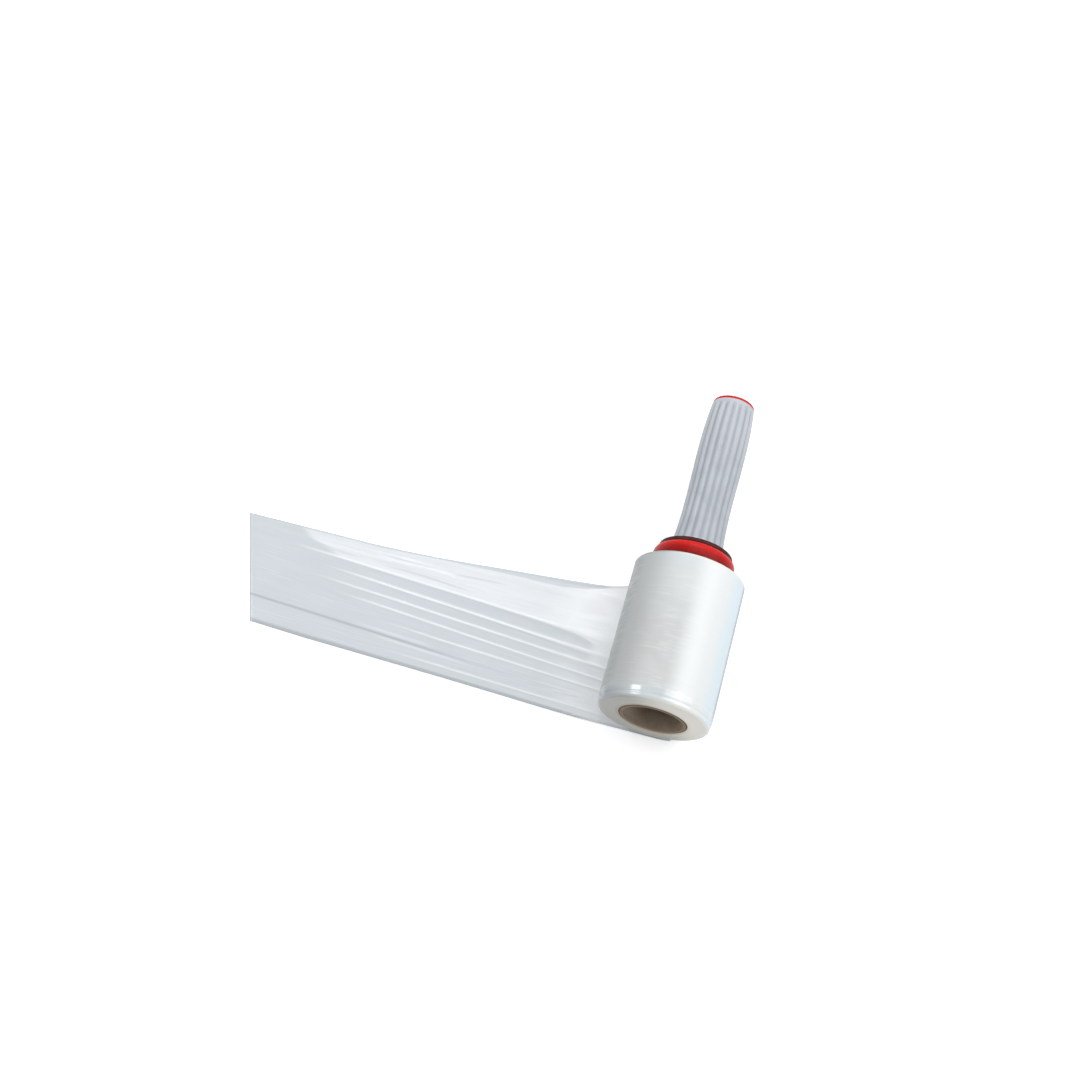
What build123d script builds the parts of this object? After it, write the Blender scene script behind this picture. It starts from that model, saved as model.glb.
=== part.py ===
"""Mini roll of stretch film on a one-handed dispenser.

The roll lies on its side on its own drawn-off tail of film. The axis runs along +Y,
from the open mouth of the core (the origin) to the grip. +Z is up, and the tail
lies towards -X.
"""
from build123d import *
from math import pi, sin, sqrt
import os

# Film wound on the core
film_width = 125.0
wound_depth = 17.7
flat_spot_width = 9.5
edge_radius = 2.6
turn_groups = 7
turn_relief = 0.35
gauge_bands = 6
band_relief = 0.18
film_step = 0.05

# Drawn-off tail of film
tail_thickness = 0.45
tail_length = 376.0
tail_skew = 34.0
neck_in_far = 22.6
neck_in_near = 9.5
fold_height = 1.2
fold_width = 3.6
# Each fold: its distance from the tail's near edge, at the roll and at the cut end
folds = [(7.0, 13.5), (17.5, 32.0), (27.0, 43.0), (36.5, 56.5), (46.0, 66.0), (57.0, 76.0), (70.0, 86.0)]

# Cardboard core
core_bore_radius = 24.0
core_wall = 3.5
core_press = 0.4
core_press_lead = 1.0

# Moulded hub: collar outside the roll, spigot inside the core
seat_gap = 0.1
collar_radius = 34.6
collar_draft = 0.9
collar_rounding = 4.5
collar_straight = 13.0
collar_height = 17.9
collar_wall = 2.6
top_plate = 3.4
spigot_length = 42.0
spigot_wall = 2.5
spigot_clearance = 0.9
crush_rib_count = 8
crush_rib_width = 2.2
crush_rib_lead = 6.0
rib_clearance = 0.05
boss_radius = 11.5
boss_length = 10.5
register_wall = 2.2
register_height = 2.2

# Friction ring between the hub and the grip
ring_overhang = 1.3
ring_width = 12.4
ring_clearance = 0.1
ring_thickness = 3.4
ring_bevel = 0.6

# Carriage bolt, M8, and its hardware
bolt_radius = 3.95
bolt_length = 70.0
bolt_head_radius = 10.0
bolt_head_height = 4.4
square_neck = 7.9
square_neck_length = 5.0
bolt_hole_clearance = 0.25
washer_radius = 8.0
washer_bore_radius = 4.2
washer_thickness = 1.6
nut_across_flats = 13.0
jam_nut_height = 4.0
lock_nut_height = 8.0
lock_nut_collar_height = 2.4
lock_nut_collar_radius = 5.6
thread_clearance = 0.05

# Brake spring
spring_strip_width = 2.2
spring_strip_height = 1.4
spring_coil_radius = 6.4
spring_height = 18.0
spring_turns = 4.5

# Grip: fluted sleeve with a partition inside
grip_length = 139.4
grip_foot_radius = 21.7
grip_waist_radius = 19.3
grip_belly_radius = 19.9
grip_head_radius = 17.9
grip_waist_at = 0.31
grip_belly_at = 0.62
grip_foot_wall = 4.1
grip_head_wall = 3.6
flute_count = 18
flute_radius = 3.0
flute_depth = 1.2
foot_band = 5.0
head_band = 5.5
partition_at = 15.0
partition_thickness = 3.5
bush_boss_wall = 3.0
bush_boss_length = 10.0
gusset_count = 6
gusset_width = 2.0

# Flanged bush and thrust washer
bush_wall = 2.4
bush_flange_radius = 9.5
bush_flange_thickness = 1.5
bush_running_clearance = 0.06
bush_seat_clearance = 0.03

# End cap
cap_radius = 17.7
cap_rim_height = 2.2
cap_rim_round = 0.6
cap_dome_height = 1.3
cap_skirt_length = 9.0
cap_skirt_wall = 1.8
cap_skirt_clearance = 0.25
cap_slot_count = 4
cap_slot_width = 5.0

# Stations along the axis, worked out from the sizes above
core_radius = core_bore_radius + core_wall
film_bore = core_radius + film_step
roll_radius = film_bore + wound_depth
floor_z = -sqrt(roll_radius**2 - (flat_spot_width / 2) ** 2)
spigot_radius = core_bore_radius - spigot_clearance
collar_foot = film_width + seat_gap
collar_shoulder_radius = collar_radius - collar_draft
collar_top_radius = collar_shoulder_radius - collar_rounding
ring_radius = collar_top_radius + ring_overhang
register_radius = ring_radius - ring_width - ring_clearance
plate_top = collar_foot + collar_height
plate_foot = plate_top - top_plate
spigot_end = collar_foot - spigot_length
head_seat = plate_foot - boss_length
ring_foot = plate_top + seat_gap
ring_top = ring_foot + ring_thickness
grip_foot = ring_top + seat_gap
grip_head = grip_foot + grip_length
partition_foot = grip_foot + partition_at
partition_top = partition_foot + partition_thickness
bush_flange_top = partition_top + seat_gap + bush_flange_thickness
thrust_washer_foot = bush_flange_top + seat_gap
spring_foot = thrust_washer_foot + washer_thickness + seat_gap
spring_top = spring_foot + spring_height
top_washer_foot = spring_top + seat_gap
lock_nut_foot = top_washer_foot + washer_thickness + seat_gap
bolt_tip = head_seat + bolt_length


def across_axis(station):
    """Plane square to the roll's axis, its normal pointing to the grip."""
    return Plane(origin=(0, station, 0), x_dir=(1, 0, 0), z_dir=(0, 1, 0))


def save(part, name):
    """Label a finished piece and write it as parts/NAME.step."""
    part.label = name
    export_step(part, f"parts/{name}.step")


os.makedirs("parts", exist_ok=True)


# Wound film: one solid of revolution. The end faces step in and out with each group
# of turns, and thicker bands of film show as low rings round the outside.
face_pitch = (roll_radius - edge_radius - film_bore) / (2 * turn_groups)
band_pitch = (film_width - 2 * edge_radius) / (2 * gauge_bands)
with BuildPart() as wound_film:
    with BuildSketch(Plane.XY) as winding_half:
        with BuildLine():
            near_face = [
                (film_bore + i * face_pitch, turn_relief * (i % 2)) for i in range(2 * turn_groups + 1)
            ]
            far_face = [(r, film_width - y) for r, y in reversed(near_face)]
            outside = [
                (roll_radius - band_relief * (i % 2), edge_radius + i * band_pitch)
                for i in range(2 * gauge_bands + 1)
            ]
            Polyline(*near_face)
            RadiusArc(near_face[-1], outside[0], -edge_radius)
            Polyline(*outside)
            RadiusArc(outside[-1], far_face[0], -edge_radius)
            Polyline(*far_face)
            Line(far_face[-1], near_face[0])
        make_face()
    revolve(axis=Axis.Y)
    split(bisect_by=Plane.XY.offset(floor_z), keep=Keep.TOP)


# Tail of film: lofted through upright sections that run from the near edge to the far
# edge. It narrows as it is pulled, and its folds run lengthwise and die out at the end.
def tail_edges(run):
    """Near and far edge points of the tail, a share `run` of the way to its cut end."""
    far_pull = neck_in_far * sin(pi / 2 * min(run / 0.75, 1.0))
    near = (-run * (tail_length - tail_skew), neck_in_near * run)
    far = (-run * tail_length, film_width - far_pull)
    return near, far


def tail_section(run, swell):
    """Sketch plane and outline of the tail's section, with its folds raised by `swell`."""
    near, far = tail_edges(run)
    across = Vector(far[0] - near[0], far[1] - near[1], 0)
    plane = Plane(origin=(near[0], near[1], floor_z), x_dir=across, z_dir=across.cross(Vector(0, 0, 1)))
    outline = [(across.length, 0), (0, 0), (0, tail_thickness)]
    for at_roll, at_end in folds:
        crest = at_roll + (at_end - neck_in_near - at_roll) * run
        outline += [
            (crest - fold_width / 2, tail_thickness),
            (crest, tail_thickness + fold_height * swell),
            (crest + fold_width / 2, tail_thickness),
        ]
    outline.append((across.length, tail_thickness))
    return plane, outline


with BuildPart() as film_roll:
    add(wound_film.part)
    for run, swell in ((0.0, 0.04), (0.09, 1.0), (0.5, 1.0), (0.78, 0.5), (1.0, 0.04)):
        section_plane, outline = tail_section(run, swell)
        with BuildSketch(section_plane):
            with BuildLine():
                Polyline(*outline, close=True)
            make_face()
    loft(ruled=True)
save(film_roll.part, "film_roll")


# Spiral-wound cardboard core, cut flush with the film. The hub's ribs press its bore
# out a little over their own length.
pressed_radius = core_bore_radius + core_press
with BuildPart() as core:
    with BuildSketch(across_axis(0)):
        Circle(core_radius)
        Circle(core_bore_radius, mode=Mode.SUBTRACT)
    extrude(amount=film_width)
    with BuildSketch(across_axis(spigot_end - core_press_lead)):
        Circle(pressed_radius)
    extrude(amount=film_width - spigot_end + core_press_lead, mode=Mode.SUBTRACT)
save(core.part, "core")


# Hub: one red moulding, open towards the roll. The collar's skirt and the radial webs
# bear on the end of the roll, and the ribbed spigot is pushed into the core.
skirt_inner_foot = collar_radius - collar_wall
skirt_inner_shoulder = collar_shoulder_radius - collar_wall
shoulder = collar_foot + collar_straight
web_reach = skirt_inner_foot + collar_wall / 8
crush_rib_radius = pressed_radius - rib_clearance
with BuildPart() as hub:
    with BuildSketch(Plane.XY):
        with BuildLine():
            skirt = Line((collar_radius, collar_foot), (collar_shoulder_radius, shoulder))
            TangentArc(skirt @ 1, (collar_top_radius, plate_top), tangent=skirt % 1)
            Polyline(
                (collar_top_radius, plate_top),
                (0, plate_top),
                (0, head_seat),
                (boss_radius, head_seat),
                (boss_radius, plate_foot),
                (collar_top_radius - collar_wall / 4, plate_foot),
                (skirt_inner_shoulder, shoulder),
                (skirt_inner_foot, collar_foot),
                skirt @ 0,
            )
        make_face()
        with Locations((spigot_radius - spigot_wall, spigot_end)):
            Rectangle(spigot_wall, plate_foot - spigot_end, align=(Align.MIN, Align.MIN))
        with Locations((register_radius - register_wall, plate_top)):
            Rectangle(register_wall, register_height, align=(Align.MIN, Align.MIN))
    revolve(axis=Axis.Y)
    for rib in range(crush_rib_count):
        radial = Plane.XY.rotated((0, rib * 360 / crush_rib_count, 0))
        with BuildSketch(radial):
            with BuildLine():
                Polyline(
                    (spigot_radius - spigot_wall / 2, spigot_end),
                    (spigot_radius, spigot_end),
                    (crush_rib_radius, spigot_end + crush_rib_lead),
                    (crush_rib_radius, collar_foot),
                    (web_reach, collar_foot),
                    (web_reach, plate_foot),
                    (spigot_radius - spigot_wall / 2, plate_foot),
                    close=True,
                )
            make_face()
        extrude(amount=crush_rib_width / 2, both=True)
    with BuildSketch(across_axis(plate_top)):
        Circle(bolt_radius + bolt_hole_clearance)
    extrude(amount=-(plate_top - head_seat), mode=Mode.SUBTRACT)
    with BuildSketch(across_axis(head_seat)):
        Rectangle(square_neck + bolt_hole_clearance, square_neck + bolt_hole_clearance)
    extrude(amount=square_neck_length + bolt_hole_clearance, mode=Mode.SUBTRACT)
save(hub.part, "hub")


# Friction ring, seated round the hub's register; the grip's foot bears on it
with BuildPart() as friction_ring:
    with BuildSketch(across_axis(ring_foot)):
        Circle(ring_radius)
        Circle(register_radius + ring_clearance, mode=Mode.SUBTRACT)
    extrude(amount=ring_thickness)
    outer_edges = friction_ring.edges().filter_by(GeomType.CIRCLE).group_by(SortBy.RADIUS)[-1]
    chamfer(outer_edges, ring_bevel)
save(friction_ring.part, "friction_ring")


# Carriage bolt: its square neck sits in the hub, so it turns with the roll
bolt_chamfer = bolt_radius / 5
with BuildPart() as carriage_bolt:
    with BuildSketch(Plane.XY):
        with BuildLine():
            rim = (bolt_head_radius, head_seat - bolt_head_height / 5)
            crown = (0, head_seat - bolt_head_height)
            TangentArc(crown, rim, tangent=(1, 0))
            Polyline(
                rim,
                (bolt_head_radius, head_seat),
                (bolt_radius, head_seat),
                (bolt_radius, bolt_tip - bolt_chamfer),
                (bolt_radius - bolt_chamfer, bolt_tip),
                (0, bolt_tip),
                crown,
            )
        make_face()
    revolve(axis=Axis.Y)
    with BuildSketch(across_axis(head_seat)):
        Rectangle(square_neck, square_neck)
    extrude(amount=square_neck_length)
save(carriage_bolt.part, "carriage_bolt")


def washer(station):
    """Flat steel washer on the bolt, its near face at `station`."""
    with BuildPart() as disc:
        with BuildSketch(across_axis(station)):
            Circle(washer_radius)
            Circle(washer_bore_radius, mode=Mode.SUBTRACT)
        extrude(amount=washer_thickness)
    return disc.part


def hex_nut(station, height, collar_height):
    """Hexagon nut on the bolt, with a round collar on top where collar_height is given."""
    with BuildPart() as nut:
        with BuildSketch(across_axis(station)):
            RegularPolygon(nut_across_flats / 2, 6, major_radius=False)
        extrude(amount=height - collar_height)
        if collar_height:
            with BuildSketch(across_axis(station + height - collar_height)):
                Circle(lock_nut_collar_radius)
            extrude(amount=collar_height)
        with BuildSketch(across_axis(station)):
            Circle(bolt_radius + thread_clearance)
        extrude(amount=height, mode=Mode.SUBTRACT)
    return nut.part


# Jam nut and washer that clamp the bolt to the hub, inside the register
jam_washer_foot = plate_top + seat_gap
save(washer(jam_washer_foot), "hub_washer")
save(hex_nut(jam_washer_foot + washer_thickness + seat_gap, jam_nut_height, 0), "jam_nut")

# Thrust washer under the spring, spring washer above it, and the lock nut
save(washer(thrust_washer_foot), "thrust_washer")
save(washer(top_washer_foot), "spring_washer")
save(hex_nut(lock_nut_foot, lock_nut_height, lock_nut_collar_height), "lock_nut")


# Brake spring, coiled from flat strip, with both ends ground flat
with BuildPart() as brake_spring:
    with BuildLine():
        coil = Helix(
            pitch=spring_height / spring_turns,
            height=spring_height,
            radius=spring_coil_radius,
            center=(0, spring_foot, 0),
            direction=(0, 1, 0),
        )
    with BuildSketch(Plane(origin=coil @ 0, x_dir=(1, 0, 0), z_dir=coil % 0)):
        Rectangle(spring_strip_width, spring_strip_height)
    sweep(is_frenet=True)
    split(bisect_by=across_axis(spring_foot), keep=Keep.TOP)
    split(bisect_by=across_axis(spring_top), keep=Keep.BOTTOM)
save(brake_spring.part, "brake_spring")


# Grip: a barrel-shaped sleeve with a smooth band at each end and flutes between them.
# A partition inside it carries the bush, held by gussets.
grip_bore_foot = grip_foot_radius - grip_foot_wall
grip_bore_head = grip_head_radius - grip_head_wall
bush_bore = bolt_radius + bush_running_clearance
bush_radius = bush_bore + bush_wall
bush_boss_radius = bush_radius + bush_seat_clearance + bush_boss_wall
bush_foot = partition_top - bush_boss_length


def grip_bore_at(station):
    """Radius of the grip's tapered bore at a station on the axis."""
    share = (station - grip_foot) / grip_length
    return grip_bore_foot + (grip_bore_head - grip_bore_foot) * share


with BuildPart() as grip:
    with BuildSketch(Plane.XY):
        with BuildLine():
            barrel = Spline(
                (grip_foot_radius, grip_foot),
                (grip_waist_radius, grip_foot + grip_length * grip_waist_at),
                (grip_belly_radius, grip_foot + grip_length * grip_belly_at),
                (grip_head_radius, grip_head),
            )
            Polyline(barrel @ 1, (grip_bore_head, grip_head), (grip_bore_foot, grip_foot), barrel @ 0)
        make_face()
        with BuildLine():
            Polyline(
                (0, partition_foot),
                (grip_bore_at(partition_foot) + grip_foot_wall / 3, partition_foot),
                (grip_bore_at(partition_top) + grip_foot_wall / 3, partition_top),
                (0, partition_top),
                close=True,
            )
        make_face()
        with Locations((0, bush_foot)):
            Rectangle(bush_boss_radius, bush_boss_length, align=(Align.MIN, Align.MIN))
    revolve(axis=Axis.Y)
    for gusset in range(gusset_count):
        radial = Plane.XY.rotated((0, gusset * 360 / gusset_count, 0))
        with BuildSketch(radial):
            with BuildLine():
                Polyline(
                    (bush_radius + bush_boss_wall / 2, bush_foot + gusset_width / 2),
                    (bush_radius + bush_boss_wall / 2, partition_foot + gusset_width / 2),
                    (grip_bore_at(partition_foot) + grip_foot_wall / 3, partition_foot + gusset_width / 2),
                    (grip_bore_at(bush_foot) + grip_foot_wall / 3, bush_foot + gusset_width / 2),
                    close=True,
                )
            make_face()
        extrude(amount=gusset_width / 2, both=True)
    with BuildSketch(across_axis(bush_foot)):
        Circle(bush_radius + bush_seat_clearance)
    extrude(amount=bush_boss_length, mode=Mode.SUBTRACT)

# One flute: a round cutter that follows the barrel, with a ball at each end
with BuildPart() as flute:
    with BuildLine():
        lift = Location((flute_radius - flute_depth, 0, 0))
        run = barrel.trim(foot_band / grip_length, 1 - head_band / grip_length).moved(lift)
        add(run)
    with BuildSketch(Plane(origin=run @ 0, z_dir=run % 0)):
        Circle(flute_radius)
    sweep()
    with Locations(run @ 0, run @ 1):
        Sphere(flute_radius)

with BuildPart() as fluted_grip:
    add(grip.part)
    add([flute.part.rotate(Axis.Y, k * 360 / flute_count) for k in range(flute_count)], mode=Mode.SUBTRACT)
save(fluted_grip.part, "grip")


# Flanged bush that the bolt turns in
with BuildPart() as bush:
    with BuildSketch(across_axis(bush_foot)):
        Circle(bush_radius)
    extrude(amount=bush_boss_length + seat_gap)
    with BuildSketch(across_axis(partition_top + seat_gap)):
        Circle(bush_flange_radius)
    extrude(amount=bush_flange_thickness)
    with BuildSketch(across_axis(bush_foot)):
        Circle(bush_bore)
    extrude(amount=bush_flange_top - bush_foot, mode=Mode.SUBTRACT)
save(bush.part, "bush")


# End cap: a low dome with a rim that shows, and a slotted skirt that snaps into the grip
cap_foot = grip_head + seat_gap
skirt_radius = grip_bore_head - cap_skirt_clearance
with BuildPart() as end_cap:
    with BuildSketch(Plane.XY):
        with BuildLine():
            crown = (0, cap_foot + cap_rim_height + cap_dome_height)
            dome_edge = (cap_radius - cap_rim_round, cap_foot + cap_rim_height)
            rim_edge = (cap_radius, cap_foot + cap_rim_height - cap_rim_round)
            TangentArc(crown, dome_edge, tangent=(1, 0))
            TangentArc(rim_edge, dome_edge, tangent=(0, 1))
            Polyline(rim_edge, (cap_radius, cap_foot), (0, cap_foot), crown)
        make_face()
        with Locations((skirt_radius - cap_skirt_wall, cap_foot - cap_skirt_length)):
            Rectangle(cap_skirt_wall, cap_skirt_length, align=(Align.MIN, Align.MIN))
    revolve(axis=Axis.Y)
    with BuildSketch(across_axis(cap_foot)):
        with PolarLocations(skirt_radius, cap_slot_count):
            Rectangle(cap_skirt_wall * 4, cap_slot_width)
    extrude(amount=-cap_skirt_length, mode=Mode.SUBTRACT)
save(end_cap.part, "end_cap")
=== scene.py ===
"""A mini roll of stretch film on its dispenser handle, lying on its drawn-off tail.

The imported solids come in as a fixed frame, and each piece is made in the order in
which the real one goes together. Sizes are in millimetres until a piece is placed.
The roll's axis is y, from its near end to the grip, and the film is drawn off to -x.
"""
import math

import bmesh
import bpy
from mathutils import Matrix, Vector, noise


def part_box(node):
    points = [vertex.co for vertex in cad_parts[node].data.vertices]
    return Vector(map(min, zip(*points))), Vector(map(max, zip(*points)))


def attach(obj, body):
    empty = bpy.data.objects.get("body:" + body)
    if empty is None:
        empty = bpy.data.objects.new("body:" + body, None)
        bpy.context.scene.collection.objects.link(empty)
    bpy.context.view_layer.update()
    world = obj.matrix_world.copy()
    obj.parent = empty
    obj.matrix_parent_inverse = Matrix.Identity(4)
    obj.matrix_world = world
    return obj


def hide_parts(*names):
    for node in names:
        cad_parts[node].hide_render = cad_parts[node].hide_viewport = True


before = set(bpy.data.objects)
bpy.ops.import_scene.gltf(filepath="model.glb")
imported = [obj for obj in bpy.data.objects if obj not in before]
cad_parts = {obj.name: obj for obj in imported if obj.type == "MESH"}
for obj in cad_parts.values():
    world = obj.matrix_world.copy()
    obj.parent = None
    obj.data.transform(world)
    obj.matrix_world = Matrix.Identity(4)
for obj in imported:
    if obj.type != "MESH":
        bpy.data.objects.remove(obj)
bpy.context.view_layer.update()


# Cardboard core: a tube wound from grey-brown paper strips on the slant and glued
# together. The film is wound straight onto it, and its near mouth is cut clean.


class Wire:
    """A socket in a material. Sums on it add the Math nodes that they stand for."""

    def __init__(self, socket):
        self.socket = socket

    def node(self, kind, settings, sockets, out=0):
        """Add a node in the same material: its settings first, then its sockets."""
        tree = self.socket.id_data
        node = tree.nodes.new(kind)
        for name, value in settings.items():
            if name == "stops":
                while len(node.color_ramp.elements) < len(value):
                    node.color_ramp.elements.new(1)
                for element, (position, colour) in zip(node.color_ramp.elements, value):
                    element.position = position
                    element.color = colour
            else:
                setattr(node, name, value)
        for name, value in sockets.items():
            if isinstance(value, Wire):
                tree.links.new(value.socket, node.inputs[name])
            else:
                node.inputs[name].default_value = value
        return Wire(node.outputs[out])

    def math(self, operation, *others):
        """One Math node on this socket and others."""
        numbers = dict(enumerate((self, *others)))
        return self.node("ShaderNodeMath", {"operation": operation}, numbers)

    def __add__(self, other):
        return self.math("ADD", other)

    def __radd__(self, other):
        return self.math("ADD", other)

    def __sub__(self, other):
        return self.math("SUBTRACT", other)

    def __rsub__(self, other):
        return self.math("MULTIPLY_ADD", -1, other)

    def __mul__(self, other):
        return self.math("MULTIPLY", other)

    def __rmul__(self, other):
        return self.math("MULTIPLY", other)

    def __truediv__(self, other):
        return self.math("DIVIDE", other)

    def either(self, other):
        """The greater of two amounts."""
        return self.math("MAXIMUM", other)

    def rise(self, low, high):
        """0 up to low, 1 from high, and a smooth rise between them."""
        limits = {"Value": self, "From Min": low, "From Max": high}
        return self.node("ShaderNodeMapRange", {"interpolation_type": "SMOOTHSTEP"}, limits)

    def noise(self, size, detail=2.0):
        """Cloudy noise, about 0 to 1, over a place in millimetres."""
        sockets = {"Vector": self, "Scale": 1 / size, "Detail": detail}
        return self.node("ShaderNodeTexNoise", {}, sockets)

    def lines(self, size, detail=2.0):
        """The same noise along one number, which shows as lines square to it."""
        sockets = {"W": self, "Scale": 1 / size, "Detail": detail}
        return self.node("ShaderNodeTexNoise", {"noise_dimensions": "1D"}, sockets)

    def stretch(self, x, y, z):
        """The same place with each direction multiplied."""
        return self.node("ShaderNodeMapping", {}, {"Vector": self, "Scale": (x, y, z)})

    def follow(self, points):
        """Straight lines through (this, that) points, read at this number."""
        total = points[0][1]
        for (x0, y0), (x1, y1) in zip(points, points[1:]):
            inside = self.node("ShaderNodeClamp", {}, {"Value": self, "Min": x0, "Max": x1})
            total = (inside - x0) * ((y1 - y0) / (x1 - x0)) + total
        return total

    def mix(self, one, two):
        """Colour one where this is 0, going to colour two where it is 1."""
        colours = {0: self, 6: one, 7: two}
        return self.node("ShaderNodeMix", {"data_type": "RGBA"}, colours, out=2)

    def parts(self):
        """The x, y and z of a place."""
        split = self.node("ShaderNodeSeparateXYZ", {}, {"Vector": self})
        return [Wire(output) for output in split.socket.node.outputs]


def tint(red, green, blue):
    """Colour as it shows on a screen, each part 0 to 255, for a colour socket."""
    return (*(((part / 255 + 0.055) / 1.055) ** 2.4 for part in (red, green, blue)), 1.0)


def overlay(colour, *layers):
    """A colour with layers over it, each the amount of it that shows and its colour."""
    for amount, layer in layers:
        colour = amount.mix(colour, layer)
    return colour


def new_finish(name, fixed):
    """New material with its shader's fixed values set, and the place on the piece in mm."""
    material = bpy.data.materials.new(name)
    material.use_nodes = True
    nodes = material.node_tree.nodes
    for socket, value in fixed.items():
        nodes["Principled BSDF"].inputs[socket].default_value = value
    metres = Wire(nodes.new("ShaderNodeTexCoord").outputs["Object"])
    return material, metres.stretch(1000, 1000, 1000)


def around_axis(spot):
    """Distance from the roll's axis, station along it, and turns around it."""
    side, station, up = spot.parts()
    radius = (side * side + up * up).math("SQRT")
    return radius, station, up.math("ARCTAN2", side) / math.tau


def paint(material, varying, relief=None, relief_height=0.0):
    """Feed what varies to the shader. The relief is 0 to 1, and its height in mm."""
    shader = material.node_tree.nodes["Principled BSDF"]
    for socket, wire in varying.items():
        material.node_tree.links.new(wire.socket, shader.inputs[socket])
    if relief:
        sockets = {"Height": relief, "Distance": relief_height / 1000}
        bump = relief.node("ShaderNodeBump", {}, sockets)
        material.node_tree.links.new(bump.socket, shader.inputs["Normal"])


def span(node):
    """Lowest and highest corner of a solid, in millimetres."""
    low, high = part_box(node)
    return low * 1000, high * 1000


def spin_outline(outline, steps, across=0.0, along=0.0, past=0.0):
    """Mesh that a closed outline makes when it is spun about the roll's axis.

    Each corner is (radius, station, rounding). Edges are first cut into lengths of at
    most `across` outwards and `along` the axis, where those are given. Only edges past
    a radius are cut along the axis, so that no triangles go into a plain inside wall.
    """
    mesh = bmesh.new()
    corners = [mesh.verts.new((radius, station, 0)) for radius, station, _ in outline]
    mesh.faces.new(corners)
    for rounding in sorted({corner[2] for corner in outline if corner[2]}):
        sharp = [vert for vert, corner in zip(corners, outline) if corner[2] == rounding]
        bmesh.ops.bevel(
            mesh,
            geom=sharp,
            offset=rounding,
            segments=5,
            profile=0.5,
            affect="VERTICES",
            material=-1,
            clamp_overlap=True,
        )
    bmesh.ops.delete(mesh, geom=mesh.faces[:], context="FACES_ONLY")
    for edge in mesh.edges[:]:
        start, end = (vert.co for vert in edge.verts)
        cuts = 0
        if across:
            cuts = max(cuts, int(abs(start.x - end.x) / across))
        if along and min(start.x, end.x) > past:
            cuts = max(cuts, int(abs(start.y - end.y) / along))
        if cuts:
            bmesh.ops.subdivide_edges(mesh, edges=[edge], cuts=cuts)
    bmesh.ops.spin(
        mesh,
        geom=mesh.verts[:] + mesh.edges[:],
        axis=(0, 1, 0),
        cent=(0, 0, 0),
        angle=math.tau,
        steps=steps,
        use_merge=True,
    )
    bmesh.ops.remove_doubles(mesh, verts=mesh.verts[:], dist=0.001)
    return mesh


def place(mesh, name, body, material, slot, *nodes, sharp=35):
    """Bring a piece to metres, shade it, and let it stand for its solids on its body."""
    bmesh.ops.recalc_face_normals(mesh, faces=mesh.faces)
    bmesh.ops.scale(mesh, vec=(0.001, 0.001, 0.001), verts=mesh.verts)
    data = bpy.data.meshes.new(name)
    mesh.to_mesh(data)
    mesh.free()
    data.shade_smooth()
    data.set_sharp_from_angle(angle=math.radians(sharp))
    piece = bpy.data.objects.new(name, data)
    bpy.context.scene.collection.objects.link(piece)
    data.materials.append(material)
    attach(piece, body)
    if nodes:
        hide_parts(*nodes)
    return piece


core_corner = span("core")[1]
core_radius = core_corner.x
core_wall = 3.5
core_bore = core_radius - core_wall
core_rounding = 0.25
core_foot = 0.05
width = core_corner.y
pressed_out = 0.4
press_lead = 1
spigot_end = span("hub")[0].y
strip_pitch = 62
plies_per_mm = 2.2

cardboard, spot = new_finish("wound cardboard", {"Specular IOR Level": 0.25})
radius, station, turns = around_axis(spot)
side, _, up = spot.parts()
slant = (turns + station / strip_pitch).math("FRACT")
seam = 1 - (slant - 0.5).math("ABSOLUTE").rise(0.0, 0.012)
fibres = spot.noise(0.5, 4)
blotches = spot.noise(9, 3)
pulp = (fibres * 0.6 + blotches * 0.4).rise(0.3, 0.7)
plies = (radius * plies_per_mm).math("FRACT").math("PINGPONG", 0.5)
cut_face = station.rise(0.25, 0.0)
# Painted shade deep in the bore to the right and below, and painted light on its left wall
bore_painted_shade = station.rise(1, 30) * (side - up * 0.6).rise(-16, 16)
bore_painted_light = station.rise(1, 5) * station.rise(60, 20) * side.rise(-8, -22)
rim = station.rise(0.6, 0.1)
glue_line = radius.rise(core_radius - 1.2, core_radius - 0.5)
board = overlay(
    pulp.mix(tint(139, 121, 103), tint(174, 158, 139)),
    (seam * 0.6, tint(84, 70, 58)),
    (cut_face * plies, tint(98, 83, 69)),
    (bore_painted_shade * 0.9, tint(70, 59, 49)),
    (bore_painted_light * 0.6, tint(190, 174, 154)),
    (rim * 0.6, tint(128, 109, 88)),
    (rim * glue_line * 0.8, tint(74, 57, 42)),
)
paint(
    cardboard,
    {"Base Color": board, "Roughness": fibres * 0.2 + 0.75},
    fibres * 0.5 + seam * -0.5,
    0.08,
)

tube = spin_outline(
    [
        (core_bore, core_foot, core_rounding),
        (core_radius, core_foot, core_rounding),
        (core_radius, width, core_rounding),
        (core_bore + pressed_out, width, core_rounding),
        (core_bore + pressed_out, spigot_end, 0),
        (core_bore, spigot_end - press_lead, 0),
    ],
    160,
)
place(tube, "Cardboard_core", "roll", cardboard, "cardboard", "core")


# Wound film: some hundreds of turns of clear polyethylene, milky in the mass. The
# edges of the turns show as rings on both ends, and the roll is pressed flat below.
film_low, film_high = span("film_roll")
floor = film_low.z
roll_radius = film_high.x
film_bore = core_radius + 0.05
near_rounding = 2.6
far_rounding = near_rounding / 2
turn_step = 0.45
length_step = 0.5
end_waver = 0.22
fullness = 0.2
taper_length, taper_slope, taper_onset = 9.8, 0.15, 0.8
groove_at, groove_depth, groove_breadth = 4.8, 0.22, 0.95
far_swell = 0.45
turns_wave, groups_wave = 1.7, 0.3
band_height, bands_wave = 0.04, 0.22
dent_depth, dents_wave = 0.07, 0.03
tail_lift = 0.3


def eased(value, low, high):
    """0 at low, 1 at high, smooth between."""
    share = min(max((value - low) / (high - low), 0), 1)
    return share * share * (3 - 2 * share)


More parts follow.
